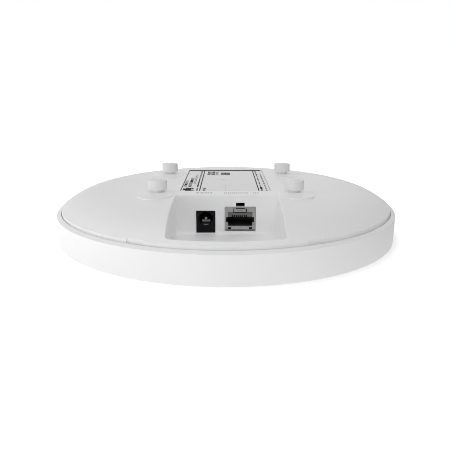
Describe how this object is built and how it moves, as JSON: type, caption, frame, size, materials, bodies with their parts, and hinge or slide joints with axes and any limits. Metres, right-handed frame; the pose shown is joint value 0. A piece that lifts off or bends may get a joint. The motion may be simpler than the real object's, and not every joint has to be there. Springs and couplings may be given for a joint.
{
  "type": "ceiling wireless access point",
  "caption": "Round flat wireless access point with a domed back, a cable pocket with network and power sockets, and mushroom studs for a keyhole bracket.",
  "frame": {"origin": "centre of the flat front face, which the unit lies on", "axes": "+Z from the front face to the ceiling side with the studs; the cable pocket opens towards -Y; +X is to the right when looking into the pocket"},
  "size_m": [0.1848, 0.1848, 0.0332],
  "materials": {
    "front_white": "fine satin moulding",
    "back_grey": "fine matt texture",
    "stud_white": "satin moulding",
    "zinc_steel": "zinc plated",
    "label_film": "printed polyester film",
    "board_green": "solder mask",
    "socket_steel": "nickel plated sheet",
    "socket_plastic": "moulded nylon",
    "comb_grey": "moulded nylon",
    "contact_gold": "gold plated",
    "jack_black": "moulded nylon",
    "pin_plated": "nickel plated",
    "cast_aluminium": "die cast",
    "pad_silicone": "soft silicone",
    "chip_black": "moulded epoxy",
    "can_tin": "tinned sheet",
    "ferrite_grey": "pressed ferrite",
    "lens_clear": "clear polycarbonate",
    "button_grey": "moulded acetal"
  },
  "bodies": {
    "housing": {"front_cover": "front_white", "back_cover": "back_grey", "mounting_studs": "stud_white", "stud_screws": "zinc_steel", "product_label": "label_film", "main_board": "board_green", "rj45_shield": "socket_steel", "rj45_insert": "socket_plastic", "rj45_comb": "comb_grey", "rj45_contacts": "contact_gold", "dc_jack_body": "jack_black", "dc_jack_pin": "pin_plated", "dc_jack_spring": "socket_steel", "heat_sink": "cast_aluminium", "thermal_pad": "pad_silicone", "processor": "chip_black", "memory_chips": "chip_black", "shield_cans": "can_tin", "radio_chips": "chip_black", "ethernet_transformer": "chip_black", "capacitors": "can_tin", "power_inductors": "ferrite_grey", "low_band_antennas": "can_tin", "high_band_antennas": "can_tin", "status_led": "lens_clear", "light_pipe": "lens_clear", "reset_switch": "jack_black", "board_screws": "zinc_steel"},
    "button": {"reset_button": "button_grey"}
  },
  "joints": [
    {"name": "reset_press", "type": "slide", "parent": "housing", "child": "button", "axis": [-1, 0, 0], "range_m": [0, 0.0005], "stiffness_N_per_m": 1000, "springref_m": -0.0004}
  ]
}
